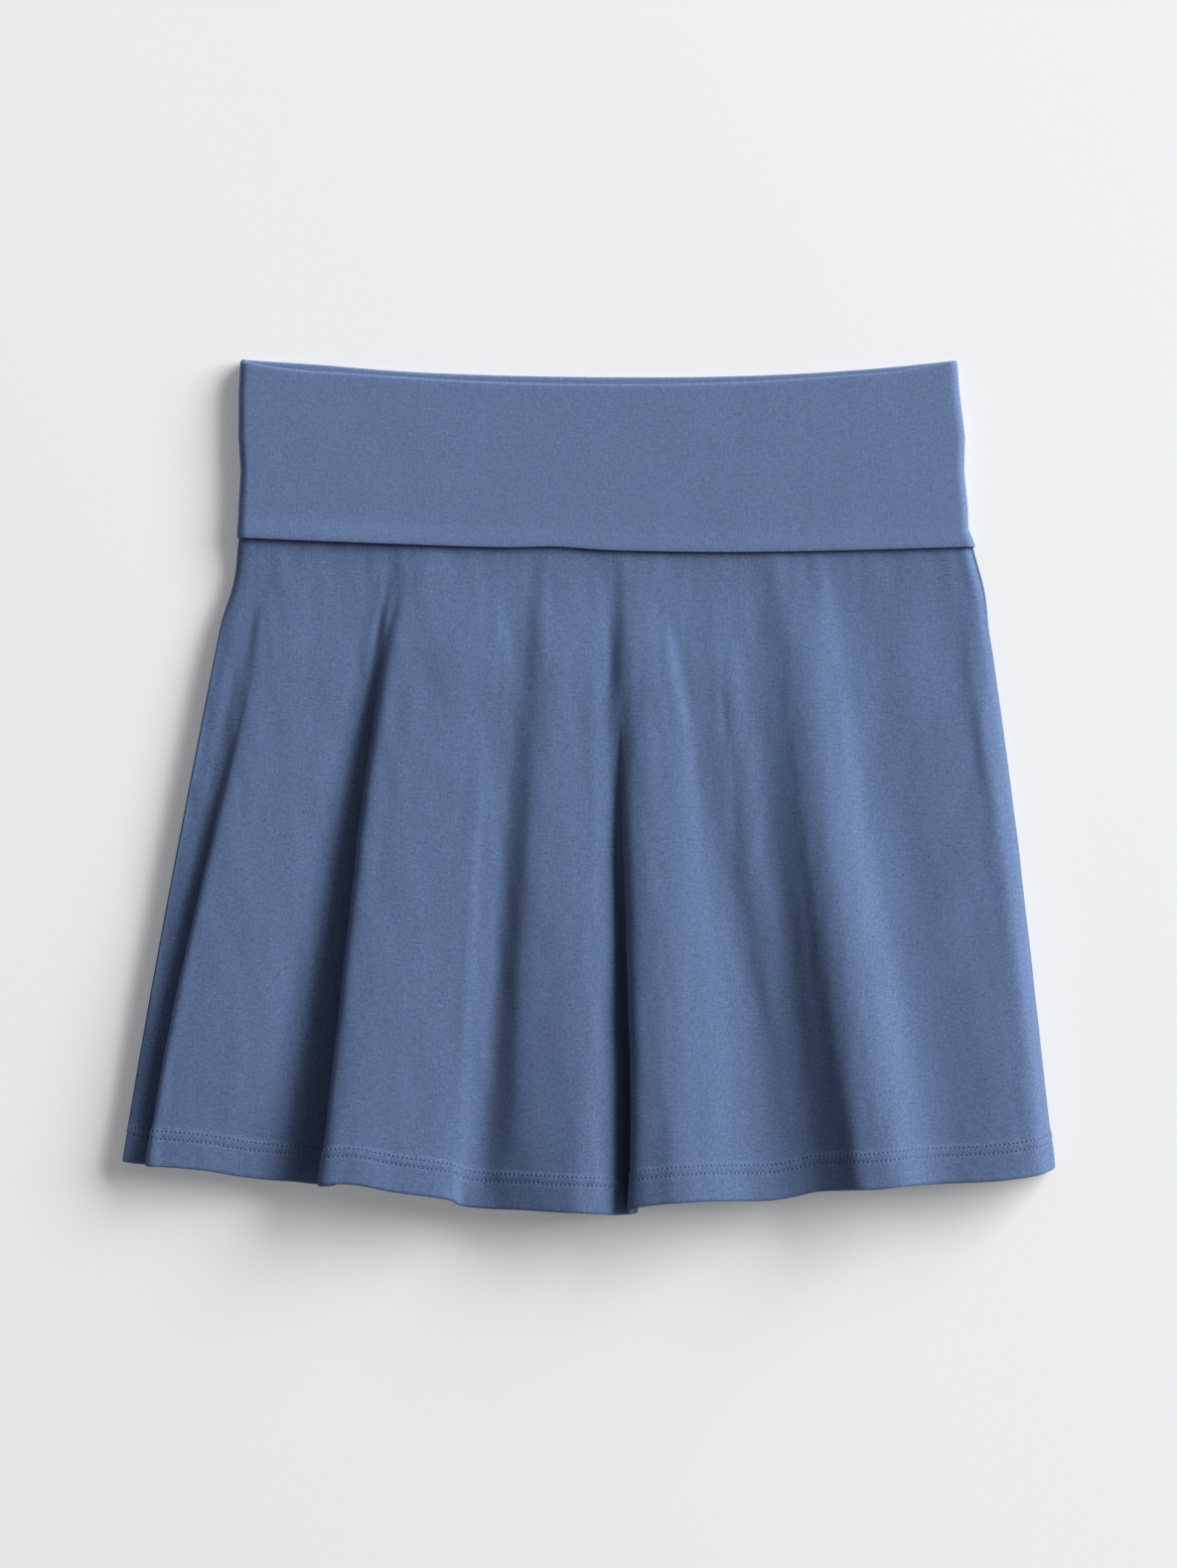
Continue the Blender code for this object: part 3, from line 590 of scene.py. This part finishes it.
def cloth_material(name, colour, contrast, fade=0.0):
    """Jersey: a matt knit with faint upright wales and a heathered colour that differs at random.

    fade paints light into the colour: a little paler towards the waist than at the hem.
    """
    matt = {
        "Roughness": 0.86,
        "Specular IOR Level": 0.22,
        "Sheen Weight": 0.16,
        "Sheen Roughness": 0.5,
        "Sheen Tint": (0.62, 0.74, 1.0, 1.0),
    }
    made, nodes, links, shader = new_material(name, matt)
    uv = nodes.new("ShaderNodeUVMap")
    uv.uv_map = "UVMap"

    def noise_at(scale_u, scale_v, detail, rough=0.55):
        place = nodes.new("ShaderNodeMapping")
        place.inputs["Scale"].default_value = (scale_u, scale_v, 1)
        links.new(uv.outputs["UV"], place.inputs["Vector"])
        tex = add_noise(nodes, links, place.outputs["Vector"], 1.0)
        tex.inputs["Detail"].default_value = detail
        tex.inputs["Roughness"].default_value = rough
        return tex.outputs["Fac"]

    def maths(operation, a, b):
        node = nodes.new("ShaderNodeMath")
        node.operation = operation
        for socket, value in zip(node.inputs, (a, b)):
            if isinstance(value, (int, float)):
                socket.default_value = value
            else:
                links.new(value, socket)
        return node.outputs[0]

    # one unit of UV is 100 mm
    wales = noise_at(150, 34, 1.0)
    grain = noise_at(210, 210, 2.0, 0.7)
    specks = noise_at(88, 104, 1.0, 0.6)
    slubs = noise_at(30, 120, 1.0)
    cloudy = noise_at(5.0, 2.2, 3.0)
    streaks = noise_at(38, 3.0, 2.0)
    shares = [(grain, 0.20), (specks, 0.32), (slubs, 0.18), (cloudy, 0.08), (streaks, 0.06)]
    mix = maths("MULTIPLY", wales, 0.16)
    for source, share in shares:
        mix = maths("ADD", mix, maths("MULTIPLY", source, share))
    # painted light: paler towards the waist, darker towards the hem
    if fade:
        split = nodes.new("ShaderNodeSeparateXYZ")
        links.new(uv.outputs["UV"], split.inputs["Vector"])
        painted_paler = maths("MULTIPLY", maths("SUBTRACT", PAINTED_LIGHT_MIDDLE, split.outputs["Y"]), fade)
        mix = maths("ADD", mix, painted_paler)
    dark, light = add_two_tones(nodes, links, mix, shader, colour, contrast)
    dark.position, light.position = 0.38, 0.62
    relief = maths("ADD", maths("MULTIPLY", wales, 0.5), maths("MULTIPLY", grain, 0.5))
    bump = nodes.new("ShaderNodeBump")
    bump.inputs["Strength"].default_value = 0.35
    bump.inputs["Distance"].default_value = 0.0003
    links.new(relief, bump.inputs["Height"])
    links.new(bump.outputs["Normal"], shader.inputs["Normal"])
    return made


def thread_material(name, colour):
    made, nodes, links, shader = new_material(name, {"Roughness": 0.6, "Sheen Weight": 0.2})
    where = nodes.new("ShaderNodeTexCoord")
    twist = add_noise(nodes, links, where.outputs["Object"], TWIST_SCALE)
    add_two_tones(nodes, links, twist.outputs["Fac"], shader, colour, 0.2)
    return made


def lay(obj, node):
    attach(obj, "root")
    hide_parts(node)


# the skirt's fade is painted light, a little paler towards the waist
skirt_cloth = cloth_material("skirt_jersey", SKIRT_BLUE, 0.25, fade=0.016)
band_cloth = cloth_material("band_jersey", BAND_BLUE, 0.20)
shorts_cloth = cloth_material("shorts_jersey", SHORTS_BLUE, 0.20)
thread = thread_material("blue_thread", THREAD_BLUE)
# painted shade for the needle holes
hole_shade = thread_material("needle_hole_shade", HOLE_SHADE_BLUE)


def hem_relief(grid, side, lift, seed):
    """The grid with its hem standing proud by lift and drawn in along the two rows of stitches."""
    lengths = arc_lengths(grid, 0)
    above = lengths[-1] - lengths
    move = lift * (1 - ease((above - HEM_DEPTH - HEM_STEP_START) / HEM_STEP_WIDTH))
    for row in STITCH_ROWS:
        move -= GROOVE_DEPTH * np.exp(-(((above - row) / GROOVE_WIDTH) ** 2))
    along = arc_lengths(grid, 1)
    for r in range(grid.shape[0]):
        if above[r].min() > PUCKER_END:
            continue
        for c in range(grid.shape[1]):
            place = Vector((along[r, c] / PUCKER_SIZE[0], above[r, c] / PUCKER_SIZE[1], seed))
            reach = math.exp(-(((above[r, c] - PUCKER_MIDDLE) / PUCKER_REACH) ** 2))
            move[r, c] += PUCKER * noise.noise(place) * reach
    return grid + grid_normals(grid) * side * move[..., None]


def hem_turned(grid, side):
    """Adds the hem that is folded up inside: rows round the edge and back up the panel."""
    normals = grid_normals(grid) * side
    lengths = arc_lengths(grid, 0)
    beyond = grid[-1] - grid[-2]
    beyond = beyond / np.linalg.norm(beyond, axis=1, keepdims=True)
    rows = []
    for k in range(1, HEM_TURN_STEPS):
        angle = math.pi * k / HEM_TURN_STEPS
        inward = normals[-1] * HEM_TURN * (1 - math.cos(angle))
        rows.append(grid[-1] - inward + beyond * HEM_TURN * math.sin(angle))
    for back in np.linspace(0, HEM_DEPTH, HEM_INNER_ROWS):
        places = lengths[-1] - back
        inward = along_columns(lengths, normals, places) * 2 * HEM_TURN
        rows.append(along_columns(lengths, grid, places) - inward)
    return np.concatenate([grid, np.array(rows)])


def skirt_rows(count):
    """Shares of the length for the rows, close together in the hem."""
    close = 1 - np.array(HEM_CLOSE[::-1]) / SKIRT_LENGTH
    return np.concatenate([np.linspace(0, close[0], count)[:-1], close])


def row_above_hem(grid, side, above):
    """Points on the outside of a panel at a distance above its hem, and their normals."""
    lengths = arc_lengths(grid, 0)
    places = lengths[-1] - above
    outward = along_columns(lengths, grid_normals(grid) * side, places)
    outward /= np.linalg.norm(outward, axis=1, keepdims=True)
    return along_columns(lengths, grid, places) + outward * CLOTH / 2, outward


def sewn(name, lines, stitch, with_hole_shade=True):
    """Stitches along lines on the cloth, each a short thread that dips in at both its ends.

    lines holds pairs of points and outward normals. If asked, a small dark disc of painted shade
    stands for the needle hole between two stitches.
    """
    threads, hole_shade_spots = ([], []), ([], [])

    def grow(made, points, faces):
        verts, polygons = made
        start = len(verts)
        verts.extend(points)
        polygons.extend(tuple(start + i for i in f) for f in faces)

    sides, spans = STITCH_SIDES, len(STITCH_RINGS) - 1
    turns = [(math.cos(a), math.sin(a)) for a in np.arange(sides) * 2 * math.pi / sides]
    tube = [
        (i * sides + k, i * sides + after, (i + 1) * sides + after, (i + 1) * sides + k)
        for i in range(spans)
        for k, after in enumerate([*range(1, sides), 0])
    ]
    tube += [tuple(reversed(range(sides))), tuple(range(spans * sides, (spans + 1) * sides))]
    fan = [(i, (i + 1) % sides, sides) for i in range(sides)]
    for points, outward in lines:
        along = np.concatenate([[0], np.cumsum(np.linalg.norm(np.diff(points, axis=0), axis=1))])

        def value_at(values, where):
            return np.array([np.interp(where, along, values[:, i]) for i in range(3)])

        def at(where):
            """A place on the line, its outward normal and the way across the line."""
            way = value_at(points, where + STITCH_SLOPE) - value_at(points, where - STITCH_SLOPE)
            way /= np.linalg.norm(way)
            normal = value_at(outward, where)
            normal -= way * (normal @ way)
            normal /= np.linalg.norm(normal)
            return value_at(points, where), normal, np.cross(normal, way)

        for where in np.arange(stitch.pitch, along[-1] - stitch.pitch, stitch.pitch):
            rings = []
            for ring in STITCH_RINGS:
                spot, normal, across = at(where + ring.place * stitch.length)
                middle = spot + normal * stitch.radius * ring.height
                radius = stitch.radius * ring.width
                rings += [middle + radius * (across * c + normal * s) for c, s in turns]
            grow(threads, rings, tube)
            # a dark disc of painted shade where the needle hole is
            if with_hole_shade:
                spot, normal, across = at(where + stitch.pitch / 2)
                way = np.cross(across, normal)
                rim = [
                    spot + normal * HOLE_SHADE_RIM + across * c * HOLE_SHADE_SIZE[0] + way * s * HOLE_SHADE_SIZE[1]
                    for c, s in turns
                ]
                grow(hole_shade_spots, [*rim, spot + normal * HOLE_SHADE_MIDDLE], fan)
    made = [new_object(f"{name}_thread", *threads, thread)]
    if with_hole_shade:
        made.append(new_object(f"{name}_needle_holes", *hole_shade_spots, hole_shade))
    for piece in made:
        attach(piece, "root")
    return made


# Skirt
front_share = skirt_rows(FRONT_STEPS)
front = through(np.array([front_line(f, front_share) for f in FRONT_FOLDS]), FRONT_SAMPLES)
front = softened(creased(front, FRONT_CREASES))
front = hem_relief(front, 1, lift=HEM_TURN, seed=5.5)
front_piece = sheet_object(
    "skirt_front_cloth", hem_turned(front, 1), CLOTH, skirt_cloth, SKIRT_RIMS
)
lay(front_piece, "skirt_front")
front_sewing = sewn(
    "skirt_front_hem", [row_above_hem(front, 1, above) for above in STITCH_ROWS], HEM_STITCH
)

back_share = skirt_rows(BACK_STEPS)
back = through(np.array([back_line(f, back_share) for f in BACK_FOLDS]), BACK_SAMPLES)
back[..., 2] = np.maximum(back[..., 2], JERSEY / 2)
back = hem_relief(back, -1, lift=0.0, seed=8.5)
back[..., 2] = np.maximum(back[..., 2], CLOTH / 2)
back_piece = sheet_object("skirt_back_cloth", hem_turned(back, -1), CLOTH, skirt_cloth, SKIRT_RIMS)
lay(back_piece, "skirt_back")
back_sewing = sewn(
    "skirt_back_hem", [row_above_hem(back, -1, above) for above in STITCH_ROWS], HEM_STITCH
)


# Waistband
def band_x(y, inset, share):
    left, right = band_sides(y)
    return left + inset + share * (right - left - 2 * HALF_Z)


def flap_lift(x, y, flap_y):
    """How far the folded half stands off near its free edge, most at the left of the front."""
    standing = STAND + STAND_MORE * np.exp(-(((x - STAND_X) / STAND_WIDTH) ** 2))
    return standing * (1 - ease((y - flap_y) / STAND_DEPTH))


def band_grid(side, top):
    """The band from the waist seam up to its top fold and down outside to its free edge."""
    insets = (1 - np.cos(BAND_TURNS)) * HALF_Z
    places = [(inset, 0.0) for inset in insets]
    places += [(HALF_Z, share) for share in np.linspace(0, 1, BAND_COLUMNS)[1:-1]]
    places += [(2 * HALF_Z - inset, 1.0) for inset in insets[::-1]]
    turn = LAYER_STEP / 2
    grid = []
    for inset, share in places:
        x = band_x(FRONT_TOP.low_y, inset, share)
        left, right = band_sides(FRONT_TOP.low_y)
        low_y = seam_y(x) + SEAM_GAP / 2
        fold_y = top_edge_y(top, x, left - OUTSIDE, right + OUTSIDE) - turn - BAND_CLOTH / 2
        flap_y = seam_y(x) - SEAM_COVER
        if side > 0:
            flap_y = flap_y + BARE_RISE * np.exp(-(((x - BARE_X) / BARE_WIDTH) ** 2))
        path = [(y, 0.0) for y in np.linspace(low_y, fold_y, BAND_INNER_ROWS)[:-1]]
        for a in np.linspace(0, math.pi, BAND_FOLD_ROWS):
            path.append((fold_y + turn * math.sin(a), turn * (1 - math.cos(a))))
        for y in np.linspace(fold_y, flap_y, BAND_OUTER_ROWS)[1:]:
            path.append((y, LAYER_STEP + (flap_lift(x, y, flap_y) if side > 0 else 0)))
        column = []
        for y, out in path:
            left, right = band_sides(y)
            x = band_x(y, inset, share)
            before, after = max(x - BAND_SLOPE, left), min(x + BAND_SLOPE, right)
            rise = waist_z(after, left, right, side) - waist_z(before, left, right, side)
            normal = side * np.array([-rise, after - before]) / np.hypot(rise, after - before)
            z = waist_z(x, left, right, side)
            column.append((x + normal[0] * out, y, z + normal[1] * out))
        grid.append(column)
    return np.array(grid).transpose(1, 0, 2)


def waist_row():
    """Points on the skirt front along the waist seam's row of stitches, and their normals."""
    share = np.linspace(0, WAIST_ROW_SHARE, WAIST_ROW_STEPS)
    grid = through(np.array([front_line(f, share) for f in FRONT_FOLDS]), WAIST_ROW_SAMPLES)
    x, down = grid[0, :, 0], -grid[..., 1]
    bare = np.exp(-(((x - BARE_X) / BARE_DROP_WIDTH) ** 2))
    row_y = seam_y(x) - SEAM_COVER + WAIST_ROW - BARE_DROP * bare
    points = along_columns(down, grid, -row_y)[WAIST_ROW_ENDS]
    outward = along_columns(down, grid_normals(grid), -row_y)[WAIST_ROW_ENDS]
    return points + outward * CLOTH / 2, outward


band_front = band_grid(1, FRONT_TOP)
band_front_piece = sheet_object(
    "waistband_front_cloth", band_front, BAND_CLOTH, band_cloth, BAND_RIMS
)
lay(band_front_piece, "waistband_front")
waist_sewing = sewn("waist_seam", [waist_row()], WAIST_STITCH, with_hole_shade=False)
band_back = band_grid(-1, BACK_TOP)
band_back_piece = sheet_object(
    "waistband_back_cloth", band_back, BAND_CLOTH, band_cloth, BAND_RIMS
)
lay(band_back_piece, "waistband_back")


# Shorts
def round_off(distance):
    return np.sqrt(1 - (1 - np.clip(distance / SHORTS_CURL, 0, 1)) ** 2)


def shorts_grid(side, hand):
    waist_x, hem_x = (ends[(hand + 1) // 2] for ends in (SHORTS_WAIST, SHORTS_HEM))
    length = seam_y(CENTRE_X) - LEG_HEM_Y
    crotch = (seam_y(CENTRE_X) - CROTCH_Y) / length
    turn = np.linspace(0, 1, SHORTS_CURL_COLUMNS) ** SHORTS_CURL_POWER * SHORTS_CURL
    grid = []
    for v in np.linspace(0, 1, SHORTS_ROWS):
        leg = (v - crotch) / (1 - crotch)
        inseam = ease(leg * INSEAM_SHARE)
        parting = LEG_PARTING * np.clip(leg, 0, 1) ** LEG_PARTING_POWER
        outer = waist_x + (hem_x - waist_x) * v
        width = abs(outer - CENTRE_X) - SEAM_GAP / 2 - parting
        flat = np.linspace(SHORTS_CURL, width - SHORTS_CURL, SHORTS_COLUMNS)[1:-1]
        across = np.concatenate([turn, flat, width - turn[::-1]])
        arch = round_off(across) * (1 - inseam * (1 - round_off(width - across)))
        settled = ease(v * SHORTS_SETTLE) ** SHORTS_SETTLE_POWER
        middle, half = (a + (b - a) * settled for a, b in zip(SHORTS_WAIST_Z, SHORTS_HEM_Z))
        x = outer - hand * across
        top_y = seam_y(x) - SEAM_GAP / 2
        z = middle + side * (SHORTS_EDGE_Z + (half - SHORTS_EDGE_Z) * arch)
        grid.append(np.stack([x, top_y + (LEG_HEM_Y - top_y) * v, z], axis=1))
    return np.array(grid)


for side, side_name in ((1, "front"), (-1, "back")):
    for hand, hand_name in ((-1, "left"), (1, "right")):
        grid = shorts_grid(side, hand)
        if hand > 0:
            grid = grid[:, ::-1]
        name = f"shorts_{side_name}_{hand_name}"
        piece = sheet_object(name + "_cloth", grid, SHORTS_CLOTH, shorts_cloth, SHORTS_RIMS)
        lay(piece, name)
        rows = [row_above_hem(grid, side, above) for above in STITCH_ROWS]
        sewing = sewn(name + "_hem", rows, SHORTS_STITCH, with_hole_shade=False)

# Floor
corners = [(-1, -1), (1, -1), (1, 1), (-1, 1)]
floor_mesh = bpy.data.meshes.new("floor")
floor_mesh.from_pydata(
    [(x * FLOOR_REACH, y * FLOOR_REACH, FLOOR_Z) for x, y in corners], [], [(0, 1, 2, 3)]
)
floor = bpy.data.objects.new("floor", floor_mesh)
bpy.context.scene.collection.objects.link(floor)
pale = {
    "Base Color": (0.82, 0.82, 0.82, 1),
    "Emission Color": (1, 1, 1, 1),
    "Emission Strength": AMBIENT,
    "Roughness": 0.9,
}
floor_mesh.materials.append(new_material("pale_floor", pale)[0])

# Light
light_data = bpy.data.lights.new("key_light", "AREA")
light_data.shape = "RECTANGLE"
light_data.size, light_data.size_y = LIGHT_SIZE
light_data.energy = LIGHT_POWER
light = bpy.data.objects.new("key_light", light_data)
place, long_axis = Vector(LIGHT_PLACE), Vector(LIGHT_LONG_AXIS)
away = place.normalized()
length_way = (long_axis - away * long_axis.dot(away)).normalized()
width_way = length_way.cross(away).normalized()
facing = Matrix((width_way, length_way, away)).transposed().to_4x4()
light.matrix_world = Matrix.Translation(place) @ facing
bpy.context.scene.collection.objects.link(light)
world = bpy.data.worlds.new("studio")
bpy.context.scene.world = world
world.use_nodes = True
background = world.node_tree.nodes["Background"]
background.inputs["Color"].default_value = (1, 1, 1, 1)
background.inputs["Strength"].default_value = AMBIENT

# Camera
camera_data = bpy.data.cameras.new("camera")
camera_data.sensor_width = SENSOR_WIDTH
camera_data.lens = SENSOR_WIDTH * CAMERA_HEIGHT / PICTURE_WIDTH
camera = bpy.data.objects.new("camera", camera_data)
camera.location = (0, CAMERA_Y, CAMERA_HEIGHT)
bpy.context.scene.collection.objects.link(camera)
bpy.context.scene.camera = camera
bpy.context.scene.view_settings.view_transform = "Standard"
